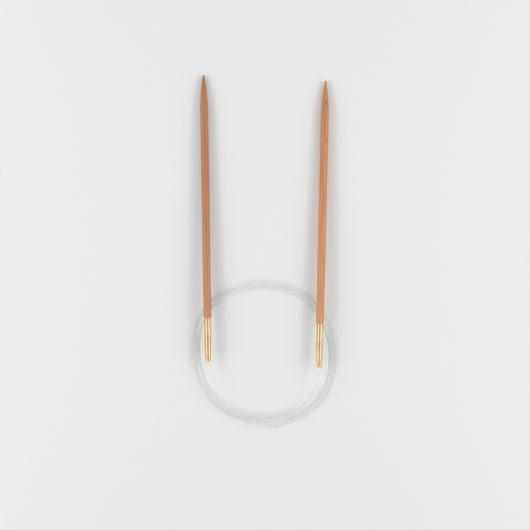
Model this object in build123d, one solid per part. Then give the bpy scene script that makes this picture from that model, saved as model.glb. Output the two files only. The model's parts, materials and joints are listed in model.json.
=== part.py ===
from build123d import *
import os
from math import asin, cos, radians, sin, sqrt, tan

# Circular knitting needle, size 4 mm and 80 cm from point to point. It lies flat on
# Z = 0 with both points towards +Y, the rear ends of its tips held up over the coiled
# cord. The origin is under the middle of the two tips. Millimetres.
#
# Along a tip, a station is the distance behind its point.

# ---- bamboo shaft ----
shaft_diameter = 4.0
shaft_length = 120.0        # point to shoulder, the part that shows
taper_length = 19.5
nose_radius = 0.5
shoulder_rounding = 0.4

# ---- metal joint ----
shoulder_step = 0.4         # from the shaft's side in to the ferrule's
ferrule_length = 10.0
ferrule_wall = 0.3
ferrule_end_wall = 0.8
joint_gap = 0.15            # the seam that opens between ferrule and sleeve
sleeve_length = 11.5
sleeve_wall = 0.3           # round the cord, at the mouth
sleeve_straight = 1.0       # length before the sleeve starts to taper
edge_chamfer = 0.12
crimp_from_mouth = 1.3
crimp_width = 0.7
crimp_depth = 0.1

# ---- swivel rivet ----
shank_diameter = 1.2
shank_clearance = 0.05      # radial, in the ferrule's end wall
shank_depth = 3.0           # pressed into the sleeve
head_clearance = 0.2        # radial, in the ferrule's bore
head_thickness = 0.6
head_play = 0.12            # before and behind the head

# ---- cord ----
cord_diameter = 2.0
socket_depth = 4.5          # length of cord held in each sleeve
lead_straight = 4.2         # how far beyond the mouth the cord's first bend is centred

# ---- coil, wound inwards and counter-clockwise seen from above ----
coil_x = -0.6
coil_y = -65.3
coil_radius = 36.3          # centreline at the start of the first turn
coil_start_angle = -70.0
coil_end_angle = 630.0
coil_corner_angle = -40.0   # the loops are drawn out a little this way
coil_oval = 0.6
coil_squareness = 0.7
coil_loosening = 0.12       # how the turns draw apart, over the turns squared
outline_points = 36         # points around one turn of the coil's outline

# ---- how the tips lie ----
tip_spread = 29.8           # from the middle to each shaft, where its taper starts
left_lean = 1.0             # how much each tip leans in towards the cord, degrees
right_lean = 1.4
tip_stagger = 2.8           # how much further the left tip reaches than the right
rest_clearance = 0.6        # room for yarn between a shaft and the cord beneath it

# The cord's own points between its sleeves and its coil.
lead_left_points = [
    (-23.5, -85.9, 4.5),
    (-15.7, -95.0, 3.2),
    (-4.4, -101.0, 3.2),
]
lead_right_points = [
    (10.3, -95.2, 1.1),
    (17.2, -91.9, 1.9),
    (22.6, -86.3, 3.7),
]
coil_run_in = 6.0           # the left lead's last run, square to the coil's start
coil_run_out = 4.0          # the right lead's first run, square to the coil's end

# ---- worked out ----
shaft_radius = shaft_diameter / 2
ferrule_radius = shaft_radius - shoulder_step
ferrule_bore_radius = ferrule_radius - ferrule_wall
head_radius = ferrule_bore_radius - head_clearance
shank_radius = shank_diameter / 2
cord_radius = cord_diameter / 2
mouth_radius = cord_radius + sleeve_wall
coil_turns = (coil_end_angle - coil_start_angle) / 360

ferrule_front = shaft_length
ferrule_rear = ferrule_front + ferrule_length
chamber_rear = ferrule_rear - ferrule_end_wall
head_rear = chamber_rear - head_play
head_front = head_rear - head_thickness
tenon_rear = head_front - head_play
sleeve_front = ferrule_rear + joint_gap
shank_rear = sleeve_front + shank_depth
mouth = sleeve_front + sleeve_length
socket_bottom = mouth - socket_depth


# ---- where things lie ----

def ogive_radius():
    """Radius of the taper's arc, tangent to the shaft's side and to the round nose."""
    nose_to_shaft = taper_length - nose_radius
    return (shaft_radius**2 + nose_to_shaft**2 - nose_radius**2) / (2 * (shaft_radius - nose_radius))


def tip_tilt():
    """Angle in radians at which a tip rises from its taper to clear the coil behind."""
    edge_radius = coil_radius + cord_radius
    coil_edge_y = coil_y + sqrt(edge_radius**2 - tip_spread**2)
    rest_station = mouth / 2 - coil_edge_y - tip_stagger / 2
    return asin((cord_diameter + rest_clearance) / (rest_station - taper_length))


def tip_plane(side):
    """Plane at a tip's point, its Z axis running back along the tip; side is -1 or 1."""
    lean = radians(left_lean if side < 0 else right_lean)
    tilt = tip_tilt()
    backwards = Vector(-side * sin(lean) * cos(tilt), -cos(lean) * cos(tilt), sin(tilt))
    arc = ogive_radius()
    height_at_taper = arc - (arc - shaft_radius) * cos(tilt)
    point = Vector(
        side * (tip_spread + taper_length * sin(lean)),
        -backwards.Y * mouth / 2 - side * tip_stagger / 2,
        height_at_taper - taper_length * sin(tilt),
    )
    return Plane(origin=point, x_dir=(0, 0, 1), z_dir=backwards)


def on_axis(side, station):
    """Point on a tip's axis."""
    plane = tip_plane(side)
    return plane.origin + plane.z_dir * station


def coil_point(turns, offset=0.0, height=0.0):
    """Point beside the coil's centreline, so many turns after its start."""
    angle = radians(coil_start_angle + 360 * turns)
    from_corner = angle - radians(coil_corner_angle)
    radius = coil_radius - cord_diameter * turns - coil_loosening * turns**2 + offset
    radius += coil_oval * cos(2 * from_corner) + coil_squareness * cos(4 * from_corner)
    return Vector(coil_x + radius * cos(angle), coil_y + radius * sin(angle), height)


def coil_heading(turns):
    """Unit vector square to the coil's end face, the way that the cord runs."""
    angle = radians(coil_start_angle + 360 * turns)
    return Vector(-sin(angle), cos(angle), 0)


def lead_left_route():
    """From the bottom of the left sleeve's socket, over the coil, to the coil's start."""
    start = coil_point(0, height=cord_radius)
    return [
        on_axis(-1, socket_bottom),
        on_axis(-1, mouth + lead_straight),
        *[Vector(*point) for point in lead_left_points],
        start - coil_heading(0) * coil_run_in,
        start,
    ]


def lead_right_route():
    """From the coil's end up to the bottom of the right sleeve's socket."""
    end = coil_point(coil_turns, height=cord_radius)
    return [
        end,
        end + coil_heading(coil_turns) * coil_run_out,
        *[Vector(*point) for point in lead_right_points],
        on_axis(1, mouth + lead_straight),
        on_axis(1, socket_bottom),
    ]


# ---- the pieces ----

def turned(outline):
    """Solid of revolution about Z from a closed outline in radius and station."""
    return revolve(Plane.XZ * make_face(outline), Axis.Z)


def bamboo_shaft():
    """Needle shaft: round nose, arched taper, straight body, shoulder and glued tenon."""
    arc = ogive_radius()
    stretch = arc / (arc - nose_radius)
    nose_edge = (
        (arc - shaft_radius) * (stretch - 1),
        taper_length - (taper_length - nose_radius) * stretch,
    )
    taper = TangentArc((shaft_radius, taper_length), nose_edge, tangent=(0, -1))
    nose = TangentArc(taper @ 1, (0, 0), tangent=taper % 1)
    tenon = Polyline(
        (0, 0),
        (0, tenon_rear),
        (ferrule_bore_radius, tenon_rear),
        (ferrule_bore_radius, shaft_length),
        (shaft_radius - shoulder_rounding, shaft_length),
    )
    shoulder = TangentArc(
        (shaft_radius, shaft_length - shoulder_rounding),
        (shaft_radius - shoulder_rounding, shaft_length),
        tangent=(0, 1),
    )
    body = Line(shoulder @ 0, (shaft_radius, taper_length))
    return turned([taper, nose, tenon, shoulder, body])


def ferrule():
    """Brass tube glued over the tenon, closed by a wall that the rivet turns in."""
    hole_radius = shank_radius + shank_clearance
    return turned(Polyline(
        (ferrule_bore_radius, ferrule_front),
        (ferrule_radius - edge_chamfer, ferrule_front),
        (ferrule_radius, ferrule_front + edge_chamfer),
        (ferrule_radius, ferrule_rear - edge_chamfer),
        (ferrule_radius - edge_chamfer, ferrule_rear),
        (hole_radius, ferrule_rear),
        (hole_radius, chamber_rear),
        (ferrule_bore_radius, chamber_rear),
        close=True,
    ))


def swivel_rivet():
    """Headed pin, its head free in the ferrule and its shank pressed into the sleeve."""
    return turned(Polyline(
        (0, head_front),
        (head_radius, head_front),
        (head_radius, head_rear),
        (shank_radius, head_rear),
        (shank_radius, shank_rear),
        (0, shank_rear),
        close=True,
    ))


def swivel_sleeve():
    """Tapered sleeve with the rivet's bore in front and the cord's socket behind."""
    taper_front = sleeve_front + sleeve_straight
    slope = (ferrule_radius - mouth_radius) / (mouth - taper_front)
    groove_middle = mouth - crimp_from_mouth
    groove_front = groove_middle - crimp_width / 2
    groove_rear = groove_middle + crimp_width / 2
    return turned(Polyline(
        (0, shank_rear),
        (shank_radius, shank_rear),
        (shank_radius, sleeve_front),
        (ferrule_radius - edge_chamfer, sleeve_front),
        (ferrule_radius, sleeve_front + edge_chamfer),
        (ferrule_radius, taper_front),
        (mouth_radius + slope * (mouth - groove_front), groove_front),
        (mouth_radius + slope * crimp_from_mouth - crimp_depth, groove_middle),
        (mouth_radius + slope * (mouth - groove_rear), groove_rear),
        (mouth_radius + slope * edge_chamfer, mouth - edge_chamfer),
        (mouth_radius - edge_chamfer, mouth),
        (cord_radius, mouth),
        (cord_radius, socket_bottom),
        (0, socket_bottom),
        close=True,
    ))


def cord_coil():
    """Closed solid that the coil's turns fill, two strands wide and one high."""
    steps = [step / outline_points for step in range(outline_points + 1)]
    outer = Spline(*[coil_point(step, cord_radius) for step in steps])
    inner = Spline(*[coil_point(coil_turns - 1 + step, -cord_radius) for step in steps])
    filled = make_face([outer, Line(outer @ 1, outer @ 0)])
    hole = make_face([inner, Line(inner @ 1, inner @ 0)])
    return extrude(filled - hole, cord_diameter, dir=(0, 0, 1))


def corner_radii(points):
    """Largest arc for each corner of a route that its two runs allow."""
    radii = []
    for before, corner, after in zip(points, points[1:], points[2:]):
        run_in = corner - before
        run_out = after - corner
        half_turn = radians(run_in.get_angle(run_out)) / 2
        radii.append(0.45 * min(run_in.length, run_out.length) / tan(half_turn))
    return radii


def cord_lead(name, points):
    """Cord along a route of straight runs joined by tangent arcs."""
    radii = corner_radii(points)
    path = FilletPolyline(*points, radius=radii)
    section = Plane(origin=path @ 0, z_dir=path % 0) * Circle(cord_radius)
    tube = sweep(section, path=path)
    print(name, "length", round(path.length, 2), "radii", [round(radius, 1) for radius in radii])
    print(name, "volume", round(tube.volume, 3), "of", round(section.area * path.length, 3))
    return tube, path.length


def coil_length():
    """Length of cord in the coil."""
    count = round(outline_points * coil_turns)
    return Spline(*[coil_point(coil_turns * step / count) for step in range(count + 1)]).length


# ---- assembly ----

os.makedirs("parts", exist_ok=True)

for name, side in (("left", -1), ("right", 1)):
    place = tip_plane(side)
    export_step(place * bamboo_shaft(), f"parts/{name}_bamboo_shaft.step")
    export_step(place * ferrule(), f"parts/{name}_ferrule.step")
    export_step(place * swivel_rivet(), f"parts/{name}_swivel_rivet.step")
    export_step(place * swivel_sleeve(), f"parts/{name}_swivel_sleeve.step")

lead_left, lead_left_length = cord_lead("cord_lead_left", lead_left_route())
lead_right, lead_right_length = cord_lead("cord_lead_right", lead_right_route())
export_step(lead_left, "parts/cord_lead_left.step")
export_step(cord_coil(), "parts/cord_coil.step")
export_step(lead_right, "parts/cord_lead_right.step")

cord_length = lead_left_length + coil_length() + lead_right_length
print("cord", round(cord_length, 1), "of it in the sleeves", 2 * socket_depth)
print("point to point", round(cord_length + 2 * socket_bottom, 1))
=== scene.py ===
import json
from math import atan, cos, pi, radians, sin, sqrt

import bmesh
import bpy
from mathutils import Matrix, Vector, noise


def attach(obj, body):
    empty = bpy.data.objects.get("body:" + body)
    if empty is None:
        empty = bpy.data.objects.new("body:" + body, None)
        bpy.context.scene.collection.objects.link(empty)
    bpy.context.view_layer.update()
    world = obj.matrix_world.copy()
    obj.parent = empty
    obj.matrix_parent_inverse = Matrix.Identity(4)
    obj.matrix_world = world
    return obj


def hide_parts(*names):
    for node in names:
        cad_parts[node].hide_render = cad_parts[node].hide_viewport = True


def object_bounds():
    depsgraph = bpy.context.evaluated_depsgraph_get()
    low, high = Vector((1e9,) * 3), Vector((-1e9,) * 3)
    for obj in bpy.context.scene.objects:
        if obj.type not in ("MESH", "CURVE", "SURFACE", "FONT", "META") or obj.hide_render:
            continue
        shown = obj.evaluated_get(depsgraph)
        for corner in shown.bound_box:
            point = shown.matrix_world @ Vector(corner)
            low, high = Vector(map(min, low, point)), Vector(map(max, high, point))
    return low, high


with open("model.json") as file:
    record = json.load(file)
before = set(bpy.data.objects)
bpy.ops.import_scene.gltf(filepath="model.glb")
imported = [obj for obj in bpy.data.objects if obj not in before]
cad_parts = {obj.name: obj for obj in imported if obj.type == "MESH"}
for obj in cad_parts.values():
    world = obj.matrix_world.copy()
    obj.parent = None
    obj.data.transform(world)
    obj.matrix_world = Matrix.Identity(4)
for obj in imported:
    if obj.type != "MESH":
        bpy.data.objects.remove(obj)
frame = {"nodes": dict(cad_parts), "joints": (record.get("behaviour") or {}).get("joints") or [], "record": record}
cad_low, cad_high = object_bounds()

# Circular knitting needle: two turned bamboo tips, a plated swivel joint behind each,
# and one clear nylon cord that lies coiled under their rear ends. Metres, in the
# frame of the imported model. Along a tip, a station is the distance behind its point,
# and a turned piece's outline is a list of (radius, station).

mm = 0.001

# ---- bamboo shaft ----
shaft_radius = frame["record"]["mounts"][0]["dims"]["r_mm"] * mm
shaft_length = 120 * mm
taper_length = 19.5 * mm
nose_radius = 0.5 * mm
shoulder_rounding = 0.4 * mm
tenon_length = 7.5 * mm
shaft_segments = 144
shaft_ring_spacing = 0.45 * mm
nose_rings = 9
shoulder_rings = 6

# ---- bamboo surface: width across the fibres, length along them, depth sunk ----
pore_width = 0.32 * mm
pore_length = 14 * mm
pore_depth = 0.03 * mm
pore_threshold = 0.22
fibre_width = pore_width / 2.3
fibre_length = 6 * mm
fibre_depth = 0.006 * mm
sanding_width = 2.6 * mm
sanding_length = 9 * sanding_width
sanding_depth = 0.012 * mm

# ---- swivel joint ----
ferrule_radius = 1.6 * mm
ferrule_wall = 0.3 * mm
ferrule_end_wall = 0.8 * mm
ferrule_length = 10 * mm
joint_gap = 0.15 * mm
sleeve_length = 11.5 * mm
sleeve_straight = 1.0 * mm
sleeve_wall = 0.3 * mm
rivet_radius = 0.6 * mm
rivet_clearance = 0.05 * mm
rivet_hole_depth = 3 * mm
edge_softening = 0.15 * mm
sharp_angle = radians(40)
lip_height = 0.05 * mm      # how far the ferrule's body lies under its rolled ends
lip_length = 0.5 * mm
lip_slope = 0.2 * mm
glue_line = 0.01 * mm       # between the bamboo's shoulder and the ferrule
crimp_from_mouth = 1.3 * mm
crimp_width = 0.9 * mm
crimp_depth = 0.1 * mm
socket_depth = 4.5 * mm
socket_clearance = 0.02 * mm
metal_segments = 96

# ---- cord ----
cord_radius = 1.0 * mm
cord_steps = 12             # rings from one control point to the next
cord_roundness = 10         # makes a ring of 24 points
lead_straight = 4.2 * mm
coil_run_in = 6.0 * mm
coil_run_out = 4.0 * mm
lead_left_points = [
    (-23.5 * mm, -85.9 * mm, 4.5 * mm),
    (-15.7 * mm, -95.0 * mm, 3.2 * mm),
    (-4.4 * mm, -101.0 * mm, 3.2 * mm),
]
lead_right_points = [
    (10.3 * mm, -95.2 * mm, 1.1 * mm),
    (17.2 * mm, -91.9 * mm, 1.9 * mm),
    (22.6 * mm, -86.3 * mm, 3.7 * mm),
]

# ---- the cord's coil, wound inwards and counter-clockwise seen from above ----
coil_x = -0.6 * mm
coil_y = -65.3 * mm
coil_radius = 36.3 * mm
coil_start_angle = -70
coil_turns = 700 / 360
coil_corner_angle = -40
coil_oval = 0.6 * mm
coil_squareness = 0.7 * mm
coil_loosening = 0.12 * mm
coil_points_per_turn = 36

# ---- studio ----
view_width = 261.6 * mm     # how much the camera takes in across, at the needle
view_offset = Vector((0.35 * mm, -6.8 * mm, 0))
lens_mm = 100
sensor_mm = 36
clip_range = (0.01, 20)
floor_size = 6.0
floor_drop = 0.01 * mm      # below the surface, so that no face lies in it
room_brightness = 0.63
dim_wall = (0.66, 0.665, 0.675, 1)
bright_wall = (0.95, 0.95, 0.95, 1)
bright_ceiling = (1.25, 1.25, 1.25, 1)
side_walls = (0.2, 0.75)    # of the way to the left or right, from dim to bright
eye_level = (0.1, 0.35)     # of the way up or down, from bright to dim
ceiling = (0.86, 0.97)      # of the way up, from dim to bright
lamp_distance = 0.62
lamp_height = radians(37)
softbox_setback = 1.03      # the softbox stands this much further off than its strip
softbox_size = (0.95, 0.40) # the first side of a lamp runs along Y, as the tips do
softbox_power = 1.6
strip_size = (0.95, 0.022)
strip_power = 0.45

# ---- repeats of each pattern in a metre, along X, Y and Z ----
tone_repeats = (480, 480, 14)
fibre_repeats = (3400, 3400, 60)
bundle_repeats = (2300, 2300, 46)
knot_repeats = (5200, 5200, 900)
smear_repeats = (420, 420, 420)
card_repeats = (900, 900, 900)
lathe_repeats = (60, 60, 14000)
bamboo_scuffs = (2600, 2600, 140)
plating_scuffs = (1500, 1500, 9000)
steel_scuffs = (800, 12000, 800)
nylon_scuffs = (700, 700, 2500)

# ---- bamboo colours, and where along a tip they lie ----
bamboo_tones = {
    "left": {
        "light": (0.60, 0.245, 0.100, 1),
        "dark": (0.48, 0.172, 0.066, 1),
        "inner": (0.37, 0.172, 0.045, 1),
    },
    "right": {
        "light": (0.73, 0.315, 0.122, 1),
        "dark": (0.60, 0.228, 0.082, 1),
        "inner": (0.43, 0.225, 0.062, 1),
    },
}
inner_wood = (4 * mm, 32 * mm)      # laid bare by the taper, fades out between these
inner_share = 0.7
pale_wood = (45 * mm, 110 * mm)     # fades in between these
pale_share = 0.2
pale_colour = (0.85, 0.5, 0.28, 1)
streak_darkness = 0.62
streak_share = 0.5
bundle_colour = (0.13, 0.045, 0.016, 1)
bundle_share = 0.55
knot_colour = (0.32, 0.08, 0.018, 1)
bamboo_shift = {"left": (0, 0, 0.4), "right": (0.02, 0.01, 0.9)}
bamboo_seed = {"left": 7.3, "right": 19.2}
knots = {                           # centre, reach and strength of each
    "left": [],
    "right": [
        ((0.58 * mm, 1.6 * mm, 11.1 * mm), (0.72 * mm, 0.72 * mm, 1.35 * mm), 0.95),
        ((-0.47 * mm, 1.85 * mm, 15.0 * mm), (0.65 * mm, 0.65 * mm, 0.95 * mm), 0.6),
    ],
}

# ---- metal, nylon and card: the two colours that each wavers between ----
plating_colours = (0.74, 0.495, 0.29, 1), (0.65, 0.41, 0.22, 1)
steel_colours = (0.55, 0.55, 0.54, 1), (0.42, 0.41, 0.4, 1)
nylon_colours = (0.94, 0.945, 0.935, 1), (0.89, 0.9, 0.885, 1)
nylon_shadow_colour = (0.97, 0.975, 0.965, 1)
nylon_shadow_clearness = 0.88       # share of a lamp's light that shines through
card_colours = (0.79, 0.80, 0.795, 1), (0.81, 0.82, 0.815, 1)

# ---- roughness, from the smoothest to the roughest spots, and what wear adds ----
bamboo_roughness = (0.34, 0.52)
plating_roughness = (0.17, 0.24)
steel_roughness = (0.28, 0.48)
nylon_roughness = (0.06, 0.12)
bamboo_smears_add = 0.08
plating_scuffs_add = 0.12
nylon_scuffs_add = 0.1

# ---- relief under the highlights: strength and depth ----
grain_relief = (0.6, 0.03 * mm)
lathe_relief = (0.25, 0.008 * mm)


# ---------------------------------------------------------------- stations

ferrule_rear = shaft_length + ferrule_length
sleeve_front = ferrule_rear + joint_gap
mouth = sleeve_front + sleeve_length
mouth_radius = cord_radius + sleeve_wall
seam = ferrule_rear + joint_gap / 2
socket_bottom = mouth - socket_depth
ferrule_bore_radius = ferrule_radius - ferrule_wall


def tip_frame(name):
    """Matrix of a tip: origin at its point, Z back along it, X to the right, Y up."""
    joint = next(joint for joint in frame["joints"] if joint["name"] == f"{name}_swivel")
    backwards = -Vector(joint["axis"]).normalized()
    right = Vector((0, 0, 1)).cross(backwards).normalized()
    up = backwards.cross(right)
    point = Vector(joint["pos_m"]) - backwards * seam
    matrix = Matrix((right, up, backwards)).transposed().to_4x4()
    matrix.translation = point
    return matrix


def on_axis(name, station):
    """Point on a tip's axis, in the model's frame."""
    return tip_frame(name) @ Vector((0, 0, station))


# ---------------------------------------------------------------- turned pieces

def link(obj):
    bpy.context.scene.collection.objects.link(obj)
    return obj


def turned(name, outline, place, segments, closed=False, relief=None):
    """Piece turned from an outline about its own Z, standing at a tip's frame."""
    mesh = bpy.data.meshes.new(name)
    build = bmesh.new()
    rings = []
    for radius, station in outline:
        if radius == 0:
            rings.append([build.verts.new((0, 0, station))])
            continue
        ring = []
        for step in range(segments):
            angle = 2 * pi * step / segments
            spot = Vector((radius * cos(angle), radius * sin(angle), station))
            if relief:
                left = radius - relief(spot, radius)
                spot = Vector((left * cos(angle), left * sin(angle), station))
            ring.append(build.verts.new(spot))
        rings.append(ring)
    pairs = list(zip(rings, rings[1:]))
    if closed:
        pairs.append((rings[-1], rings[0]))
    for one, other in pairs:
        for step in range(segments):
            after = (step + 1) % segments
            corners = [one[step % len(one)], one[after % len(one)]]
            corners += [other[after % len(other)], other[step % len(other)]]
            build.faces.new(list(dict.fromkeys(corners)))
    bmesh.ops.recalc_face_normals(build, faces=build.faces)
    build.to_mesh(mesh)
    build.free()
    mesh.shade_smooth()
    mesh.set_sharp_from_angle(angle=sharp_angle)
    piece = link(bpy.data.objects.new(name, mesh))
    piece.matrix_world = place
    return piece


def softened(outline, rounding, steps=4, closed=True):
    """Outline with each corner rounded off by an arc, and held by a ring on each side."""
    points = [Vector(point) for point in outline]
    largest_share = 0.3     # of the shorter side of a corner
    hold = 1.4              # of the arc's reach
    soft = []
    count = len(points)
    for index, corner in enumerate(points):
        if not closed and index in (0, count - 1):
            soft.append(tuple(corner))
            continue
        before = points[index - 1] - corner
        after = points[(index + 1) % count] - corner
        reach = min(rounding, largest_share * min(before.length, after.length))
        start = corner + before.normalized() * reach
        end = corner + after.normalized() * reach
        soft.append(tuple(corner + before.normalized() * hold * reach))
        for step in range(steps + 1):
            share = step / steps
            bend = start.lerp(corner, share).lerp(corner.lerp(end, share), share)
            soft.append(tuple(bend))
        soft.append(tuple(corner + after.normalized() * hold * reach))
    return soft


# ---------------------------------------------------------------- bamboo shafts

def shaft_outline():
    """Round nose, arched taper, straight body, rounded shoulder and glued tenon."""
    nose_to_shaft = taper_length - nose_radius
    arch = shaft_radius**2 + nose_to_shaft**2 - nose_radius**2
    arch /= 2 * (shaft_radius - nose_radius)
    nose_edge = taper_length - nose_to_shaft * arch / (arch - nose_radius)
    from_centre = nose_radius - nose_edge
    nose_sweep = pi / 2 - atan(from_centre / sqrt(nose_radius**2 - from_centre**2))
    outline = []
    for step in range(nose_rings):
        angle = nose_sweep * step / nose_rings
        outline.append((nose_radius * sin(angle), nose_radius * (1 - cos(angle))))
    outline[0] = (0, 0)
    body_end = shaft_length - shoulder_rounding
    count = round((body_end - nose_edge) / shaft_ring_spacing)
    for step in range(count + 1):
        station = nose_edge + (body_end - nose_edge) * step / count
        short = max(0, taper_length - station)
        outline.append((shaft_radius - arch + sqrt(arch**2 - short**2), station))
    for step in range(1, shoulder_rings + 1):
        angle = pi / 2 * step / shoulder_rings
        radius = shaft_radius - shoulder_rounding * (1 - cos(angle))
        outline.append((radius, body_end + shoulder_rounding * sin(angle)))
    tenon_radius = ferrule_bore_radius - socket_clearance
    outline.append((tenon_radius, shaft_length))
    outline.append((tenon_radius, shaft_length + tenon_length))
    outline.append((0, shaft_length + tenon_length))
    return outline


def fibre_relief(seed):
    """How far the pores, fibres and sanding leave the bamboo inside its outline."""
    def relief(spot, radius):
        if radius < ferrule_bore_radius / 2:
            return 0
        across = Vector((spot.x, spot.y, 0))
        pore_shift = Vector((seed, 0, spot.z / pore_length))
        fibre_shift = Vector((0, seed, spot.z / fibre_length))
        sanding_shift = Vector((0, 0, spot.z / sanding_length + seed))
        pores = noise.noise(across / pore_width + pore_shift)
        fibres = noise.noise(across / fibre_width + fibre_shift)
        sanding = noise.noise(across / sanding_width + sanding_shift)
        sunk = pore_depth * max(0, pores - pore_threshold)
        return sunk + fibre_depth * (1 + fibres) + sanding_depth * (1 + sanding)
    return relief


def bamboo_shaft(name, seed, finish):
    shaft = turned(
        f"{name}_needle_shaft",
        shaft_outline(),
        tip_frame(name),
        shaft_segments,
        relief=fibre_relief(seed),
    )
    shaft.data.materials.append(finish)
    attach(shaft, f"{name}_tip")
    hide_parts(f"{name}_bamboo_shaft")
    return shaft


# ---------------------------------------------------------------- swivel joints

def ferrule(name, finish):
    """Tube glued over the bamboo's tenon, its ends rolled a little proud of its body."""
    body = ferrule_radius - lip_height
    front = shaft_length + glue_line
    outline = [
        (ferrule_bore_radius, front),
        (ferrule_radius, front),
        (ferrule_radius, front + lip_length),
        (body, front + lip_length + lip_slope),
        (body, ferrule_rear - lip_length - lip_slope),
        (ferrule_radius, ferrule_rear - lip_length),
        (ferrule_radius, ferrule_rear),
        (rivet_radius + rivet_clearance, ferrule_rear),
        (rivet_radius + rivet_clearance, ferrule_rear - ferrule_end_wall),
        (ferrule_bore_radius, ferrule_rear - ferrule_end_wall),
    ]
    tube = turned(
        f"{name}_joint_ferrule",
        softened(outline, edge_softening),
        tip_frame(name),
        metal_segments,
        closed=True,
    )
    tube.data.materials.append(finish)
    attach(tube, f"{name}_tip")
    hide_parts(f"{name}_ferrule")
    return tube


def swivel_sleeve(name, finish):
    """Tapered sleeve that turns behind the ferrule, crimped onto the cord."""
    taper_front = sleeve_front + sleeve_straight
    slope = (ferrule_radius - mouth_radius) / (mouth - taper_front)
    groove = mouth - crimp_from_mouth
    front = groove - crimp_width / 2
    rear = groove + crimp_width / 2
    groove_radius = mouth_radius + slope * crimp_from_mouth - crimp_depth
    socket_radius = cord_radius + socket_clearance
    outline = [
        (0, sleeve_front + rivet_hole_depth),
        (rivet_radius, sleeve_front + rivet_hole_depth),
        (rivet_radius, sleeve_front),
        (ferrule_radius, sleeve_front),
        (ferrule_radius, taper_front),
        (mouth_radius + slope * (mouth - front), front),
        (groove_radius, groove - crimp_width / 6),
        (groove_radius, groove + crimp_width / 6),
        (mouth_radius + slope * (mouth - rear), rear),
        (mouth_radius, mouth),
        (socket_radius, mouth),
        (socket_radius, socket_bottom),
        (0, socket_bottom),
    ]
    sleeve = turned(
        f"{name}_joint_sleeve",
        softened(outline, edge_softening, closed=False),
        tip_frame(name),
        metal_segments,
    )
    sleeve.data.materials.append(finish)
    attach(sleeve, "cord")
    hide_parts(f"{name}_swivel_sleeve")
    return sleeve


# ---------------------------------------------------------------- the cord

def coil_point(turns):
    """Control point of the coil's line, so many turns after its start."""
    angle = radians(coil_start_angle + 360 * turns)
    from_corner = angle - radians(coil_corner_angle)
    radius = coil_radius - 2 * cord_radius * turns - coil_loosening * turns**2
    radius += coil_oval * cos(2 * from_corner) + coil_squareness * cos(4 * from_corner)
    radius /= cos(pi / coil_points_per_turn)
    x = coil_x + radius * cos(angle)
    y = coil_y + radius * sin(angle)
    return Vector((x, y, cord_radius))


def coil_heading(turns):
    """Unit vector along the cord at the coil's start or end."""
    angle = radians(coil_start_angle + 360 * turns)
    return Vector((-sin(angle), cos(angle), 0))


def cord_route():
    """The cord's control points: left lead, coil, right lead."""
    start, end = coil_point(0), coil_point(coil_turns)
    # The middle one of these three keeps the cord on the axis right up to the mouth.
    in_socket = (socket_bottom, mouth - lead_straight, mouth + lead_straight)
    lead_in = [on_axis("left", station) for station in in_socket]
    lead_in += [Vector(point) for point in lead_left_points]
    lead_in.append(start - coil_heading(0) * coil_run_in)
    steps = round(coil_points_per_turn * coil_turns)
    coil = [coil_point(coil_turns * step / steps) for step in range(steps + 1)]
    lead_out = [end + coil_heading(coil_turns) * coil_run_out]
    lead_out += [Vector(point) for point in lead_right_points]
    lead_out += [on_axis("right", station) for station in reversed(in_socket)]
    return lead_in + coil + lead_out


def nylon_cord(finish):
    route = cord_route()
    curve = bpy.data.curves.new("nylon_cord", "CURVE")
    curve.dimensions = "3D"
    spline = curve.splines.new("NURBS")
    spline.points.add(len(route) - 1)
    for point, place in zip(spline.points, route):
        point.co = (*place, 1)
    spline.order_u = 3
    spline.use_endpoint_u = True
    curve.resolution_u = cord_steps
    curve.bevel_depth = cord_radius
    curve.bevel_resolution = cord_roundness
    curve.use_fill_caps = True
    cord = link(bpy.data.objects.new("nylon_cord", curve))
    curve.materials.append(finish)
    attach(cord, "cord")
    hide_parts("cord_lead_left", "cord_coil", "cord_lead_right")
    return cord


# ---------------------------------------------------------------- shader nodes

def feed(tree, new, inputs):
    """Link the inputs that are given as sockets, and set the others."""
    for name, value in inputs.items():
        if isinstance(value, bpy.types.NodeSocket):
            tree.links.new(value, new.inputs[name])
        else:
            new.inputs[name].default_value = value


def node(tree, kind, inputs=None, **settings):
    """New node with its settings and inputs."""
    new = tree.nodes.new(kind)
    for name, value in settings.items():
        setattr(new, name, value)
    feed(tree, new, inputs or {})
    return new


def worked_out(tree, operation, *values):
    """Result of one sum."""
    inputs = dict(enumerate(values))
    return node(tree, "ShaderNodeMath", inputs, operation=operation).outputs[0]


def vector_sum(tree, operation, *values):
    """Result of one sum with vectors."""
    inputs = dict(enumerate(values))
    return node(tree, "ShaderNodeVectorMath", inputs, operation=operation).outputs[0]


def mixed(tree, factor, one, other):
    """Colour between two colours."""
    inputs = {0: factor, 6: one, 7: other}
    return node(tree, "ShaderNodeMix", inputs, data_type="RGBA").outputs[2]


def remapped(tree, value, low, high, to_low, to_high):
    """Value moved from one range to another and kept inside it."""
    inputs = {0: value, 1: low, 2: high, 3: to_low, 4: to_high}
    return node(tree, "ShaderNodeMapRange", inputs).outputs[0]


def clouds(tree, place, repeats, detail, roughness=0.5):
    """Noise that repeats about so many times in a metre along each axis."""
    return node(tree, "ShaderNodeTexNoise", {
        "Vector": vector_sum(tree, "MULTIPLY", place, repeats),
        "Scale": 1.0,
        "Detail": detail,
        "Roughness": roughness,
    }).outputs


def group(name, inputs, outputs):
    """Shader node group, with the sockets that its nodes read and feed."""
    tree = bpy.data.node_groups.new(name, "ShaderNodeTree")
    for socket, kind in inputs.items():
        tree.interface.new_socket(socket, in_out="INPUT", socket_type=kind)
    for socket, kind in outputs.items():
        tree.interface.new_socket(socket, in_out="OUTPUT", socket_type=kind)
    given = tree.nodes.new("NodeGroupInput").outputs
    result = tree.nodes.new("NodeGroupOutput").inputs
    return tree, given, result


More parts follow.
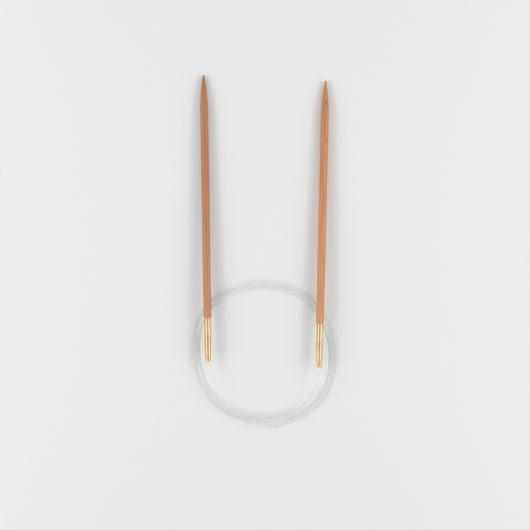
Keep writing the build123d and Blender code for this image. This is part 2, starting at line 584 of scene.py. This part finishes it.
def use(tree, group_tree, inputs):
    """Group placed in a material with its own values."""
    new = node(tree, "ShaderNodeGroup", node_tree=group_tree)
    feed(tree, new, inputs)
    return new.outputs


def material(name, principled):
    """Material with a Principled shader, and the coordinates of its piece."""
    new = bpy.data.materials.new(name)
    new.use_nodes = True
    tree = new.node_tree
    shader = tree.nodes["Principled BSDF"]
    feed(tree, shader, principled)
    return new, tree, shader, tree.nodes.new("ShaderNodeTexCoord").outputs["Object"]


def bump(tree, shader, height, strength, depth):
    """Small relief under a shader's highlights."""
    inputs = {"Height": height, "Strength": strength, "Distance": depth}
    relief = node(tree, "ShaderNodeBump", inputs)
    tree.links.new(relief.outputs[0], shader.inputs["Normal"])


# ---------------------------------------------------------------- effects

def bamboo_grain():
    """Fibres that run along Z through the whole stick, so a taper cuts across them."""
    tree, given, result = group(
        "bamboo grain",
        {"Place": "NodeSocketVector", "Shift": "NodeSocketVector"},
        {"Tone": "NodeSocketFloat", "Streaks": "NodeSocketFloat",
         "Bundles": "NodeSocketFloat", "Height": "NodeSocketFloat"},
    )
    place = vector_sum(tree, "ADD", given["Place"], given["Shift"])
    broad = clouds(tree, place, tone_repeats, 3.0, 0.55)
    fine = clouds(tree, place, fibre_repeats, 4.0, 0.6)
    wander = vector_sum(tree, "MULTIPLY", broad["Color"], (0.9, 0.9, 0.9))
    warped = vector_sum(
        tree, "ADD", vector_sum(tree, "MULTIPLY", place, bundle_repeats), wander
    )
    cells = node(tree, "ShaderNodeTexVoronoi", {"Vector": warped, "Scale": 1.0}).outputs
    cores = remapped(tree, cells["Distance"], 0.12, 0.34, 1.0, 0.0)
    draw = node(tree, "ShaderNodeSeparateColor", {0: cells["Color"]}).outputs[0]
    chosen = remapped(tree, draw, 0.35, 0.6, 0.0, 1.0)
    bundles = worked_out(tree, "MULTIPLY", cores, chosen)
    sunk = worked_out(tree, "MULTIPLY", bundles, 0.8)
    height = worked_out(tree, "SUBTRACT", fine["Fac"], sunk)
    tree.links.new(broad["Fac"], result["Tone"])
    tree.links.new(fine["Fac"], result["Streaks"])
    tree.links.new(bundles, result["Bundles"])
    tree.links.new(height, result["Height"])
    return tree


def fine_scuffs():
    """Hairline scuffs and soft smears from handling."""
    tree, given, result = group(
        "fine scuffs",
        {"Place": "NodeSocketVector", "Stretch": "NodeSocketVector"},
        {"Scuffs": "NodeSocketFloat", "Smears": "NodeSocketFloat"},
    )
    lines = clouds(tree, given["Place"], given["Stretch"], 5.0, 0.7)["Fac"]
    smears = clouds(tree, given["Place"], smear_repeats, 2.0)["Fac"]
    tree.links.new(remapped(tree, lines, 0.52, 0.7, 0.0, 1.0), result["Scuffs"])
    tree.links.new(remapped(tree, smears, 0.35, 0.7, 0.0, 1.0), result["Smears"])
    return tree


def knot_mark():
    """Small dark eye in the bamboo, drawn out along the fibres."""
    tree, given, result = group(
        "knot mark",
        {"Place": "NodeSocketVector", "Centre": "NodeSocketVector",
         "Reach": "NodeSocketVector"},
        {"Mark": "NodeSocketFloat"},
    )
    away = vector_sum(tree, "SUBTRACT", given["Place"], given["Centre"])
    shares = vector_sum(tree, "DIVIDE", away, given["Reach"])
    length = node(tree, "ShaderNodeVectorMath", {0: shares}, operation="LENGTH")
    ragged = clouds(tree, given["Place"], knot_repeats, 3.0)["Fac"]
    uneven = worked_out(tree, "MULTIPLY", ragged, 0.8)
    edge = worked_out(tree, "ADD", length.outputs["Value"], uneven)
    tree.links.new(remapped(tree, edge, 0.6, 1.4, 1.0, 0.0), result["Mark"])
    return tree


# ---------------------------------------------------------------- finishes

def oiled_bamboo(name, grain, scuffs, knot):
    """Heat-darkened bamboo, sanded, oiled and buffed."""
    new, tree, shader, place = material(f"oiled bamboo, {name}", {
        "IOR": 1.5, "Coat Weight": 0.35, "Coat Roughness": 0.22, "Coat IOR": 1.48,
    })
    tones = bamboo_tones[name]
    marks = use(tree, grain, {"Place": place, "Shift": bamboo_shift[name]})
    wear = use(tree, scuffs, {"Place": place, "Stretch": bamboo_scuffs})
    tone = remapped(tree, marks["Tone"], 0.3, 0.7, 0.0, 1.0)
    base = mixed(tree, tone, tones["dark"], tones["light"])
    station = node(tree, "ShaderNodeSeparateXYZ", {0: place}).outputs["Z"]
    inner = remapped(tree, station, *inner_wood, inner_share, 0.0)
    base = mixed(tree, inner, base, tones["inner"])
    paler = remapped(tree, station, *pale_wood, 0.0, pale_share)
    base = mixed(tree, paler, base, pale_colour)
    streaks = remapped(tree, marks["Streaks"], 0.3, 0.68, 0.0, streak_share)
    streak_colour = [streak_darkness * value for value in tones["dark"][:3]] + [1]
    base = mixed(tree, streaks, base, streak_colour)
    bundles = worked_out(tree, "MULTIPLY", marks["Bundles"], bundle_share)
    base = mixed(tree, bundles, base, bundle_colour)
    for centre, reach, strength in knots[name]:
        mark = use(tree, knot, {"Place": place, "Centre": centre, "Reach": reach})["Mark"]
        mark = worked_out(tree, "MULTIPLY", mark, strength)
        base = mixed(tree, mark, base, knot_colour)
    tree.links.new(base, shader.inputs["Base Color"])
    fibres = remapped(tree, marks["Streaks"], 0.2, 0.8, *bamboo_roughness)
    smears = worked_out(tree, "MULTIPLY", wear["Smears"], bamboo_smears_add)
    rough = worked_out(tree, "ADD", fibres, smears)
    tree.links.new(rough, shader.inputs["Roughness"])
    bump(tree, shader, marks["Height"], *grain_relief)
    return new


def gold_plating(scuffs):
    """Polished gold-coloured plating over turned brass."""
    new, tree, shader, place = material("gold plating", {"Metallic": 1.0})
    wear = use(tree, scuffs, {"Place": place, "Stretch": plating_scuffs})
    tint = mixed(tree, wear["Smears"], *plating_colours)
    tree.links.new(tint, shader.inputs["Base Color"])
    scratches = worked_out(tree, "MULTIPLY", wear["Scuffs"], plating_scuffs_add)
    smears = remapped(tree, wear["Smears"], 0.0, 1.0, *plating_roughness)
    rough = worked_out(tree, "ADD", scratches, smears)
    tree.links.new(rough, shader.inputs["Roughness"])
    lathe_lines = clouds(tree, place, lathe_repeats, 2.0)["Fac"]
    bump(tree, shader, lathe_lines, *lathe_relief)
    return new


def turned_steel(scuffs):
    """Plain steel, as turned."""
    new, tree, shader, place = material("turned steel", {"Metallic": 1.0})
    wear = use(tree, scuffs, {"Place": place, "Stretch": steel_scuffs})
    tint = mixed(tree, wear["Smears"], *steel_colours)
    rough = remapped(tree, wear["Scuffs"], 0.0, 1.0, *steel_roughness)
    tree.links.new(tint, shader.inputs["Base Color"])
    tree.links.new(rough, shader.inputs["Roughness"])
    return new


def clear_nylon(scuffs):
    """Clear extruded nylon, a little milky; lamps shine through to the surface beneath."""
    new, tree, shader, place = material("clear nylon", {
        "IOR": 1.5, "Transmission Weight": 0.9,
        "Coat Weight": 0.8, "Coat Roughness": 0.05, "Coat IOR": 1.5,
    })
    wear = use(tree, scuffs, {"Place": place, "Stretch": nylon_scuffs})
    tint = mixed(tree, wear["Smears"], *nylon_colours)
    tree.links.new(tint, shader.inputs["Base Color"])
    scratches = worked_out(tree, "MULTIPLY", wear["Scuffs"], nylon_scuffs_add)
    smears = remapped(tree, wear["Smears"], 0.0, 1.0, *nylon_roughness)
    rough = worked_out(tree, "ADD", scratches, smears)
    tree.links.new(rough, shader.inputs["Roughness"])
    through = node(tree, "ShaderNodeBsdfTransparent", {"Color": nylon_shadow_colour})
    shadow = node(tree, "ShaderNodeLightPath").outputs["Is Shadow Ray"]
    clearness = worked_out(tree, "MULTIPLY", shadow, nylon_shadow_clearness)
    inputs = {0: clearness, 1: shader.outputs[0], 2: through.outputs[0]}
    surface = node(tree, "ShaderNodeMixShader", inputs).outputs[0]
    tree.links.new(surface, tree.nodes["Material Output"].inputs["Surface"])
    return new


def pale_card():
    """Floor: plain pale matt card."""
    new, tree, shader, place = material("pale card", {"Roughness": 0.85})
    cloud = clouds(tree, place, card_repeats, 3.0)["Fac"]
    tint = mixed(tree, cloud, *card_colours)
    tree.links.new(tint, shader.inputs["Base Color"])
    return new


# ---------------------------------------------------------------- studio

def studio_floor():
    mesh = bpy.data.meshes.new("floor")
    half = floor_size / 2
    corners = [(-half, -half, 0), (half, -half, 0), (half, half, 0), (-half, half, 0)]
    mesh.from_pydata(corners, [], [(0, 1, 2, 3)])
    floor = link(bpy.data.objects.new("floor", mesh))
    floor.location.z = -floor_drop
    mesh.materials.append(pale_card())


def area_lamp(name, place, aim, size, energy):
    lamp = bpy.data.lights.new(name, "AREA")
    lamp.shape = "RECTANGLE"
    lamp.size, lamp.size_y = size
    lamp.energy = energy
    obj = link(bpy.data.objects.new(name, lamp))
    obj.location = place
    obj.rotation_euler = (aim - place).to_track_quat("-Z", "Y").to_euler()


def soft_surroundings():
    """Room light, bright at eye level, to the left and right and overhead."""
    world = bpy.data.worlds.new("room")
    bpy.context.scene.world = world
    world.use_nodes = True
    tree = world.node_tree
    ray = node(tree, "ShaderNodeTexCoord").outputs["Generated"]
    way = node(tree, "ShaderNodeSeparateXYZ", {0: ray}).outputs
    across = worked_out(tree, "ABSOLUTE", way["X"])
    sideways = remapped(tree, across, *side_walls, 0.0, 1.0)
    walls = mixed(tree, sideways, dim_wall, bright_wall)
    up_or_down = worked_out(tree, "ABSOLUTE", way["Z"])
    level = remapped(tree, up_or_down, *eye_level, 1.0, 0.0)
    walls = mixed(tree, level, walls, bright_wall)
    overhead = remapped(tree, way["Z"], *ceiling, 0.0, 1.0)
    shade = mixed(tree, overhead, walls, bright_ceiling)
    tree.links.new(shade, tree.nodes["Background"].inputs["Color"])
    tree.nodes["Background"].inputs["Strength"].default_value = room_brightness


def camera(centre):
    data = bpy.data.cameras.new("camera")
    data.lens = lens_mm
    data.sensor_width = sensor_mm
    distance = view_width * lens_mm / sensor_mm
    obj = link(bpy.data.objects.new("camera", data))
    obj.location = centre + view_offset + Vector((0, 0, distance))
    data.clip_start, data.clip_end = clip_range
    bpy.context.scene.camera = obj


# ---------------------------------------------------------------- assembly

bpy.context.scene.view_settings.view_transform = "Standard"
centre = (cad_low + cad_high) / 2
camera(centre)
studio_floor()
soft_surroundings()
for name, side in (("left", -1), ("right", 1)):
    way = Vector((side * cos(lamp_height), 0, sin(lamp_height)))
    strip_place = centre + lamp_distance * way
    softbox_place = centre + softbox_setback * lamp_distance * way
    area_lamp(f"{name} softbox", softbox_place, centre, softbox_size, softbox_power)
    area_lamp(f"{name} strip", strip_place, centre, strip_size, strip_power)

scuffs = fine_scuffs()
grain = bamboo_grain()
knot = knot_mark()
nylon = clear_nylon(scuffs)
plating = gold_plating(scuffs)
steel = turned_steel(scuffs)

cord = nylon_cord(nylon)
for name in ("left", "right"):
    bamboo_shaft(name, bamboo_seed[name], oiled_bamboo(name, grain, scuffs, knot))
    ferrule(name, plating)
    swivel_sleeve(name, plating)
    rivet = frame["nodes"][f"{name}_swivel_rivet"]
    rivet.material_slots[0].material = steel

on_axis("left", mouth)
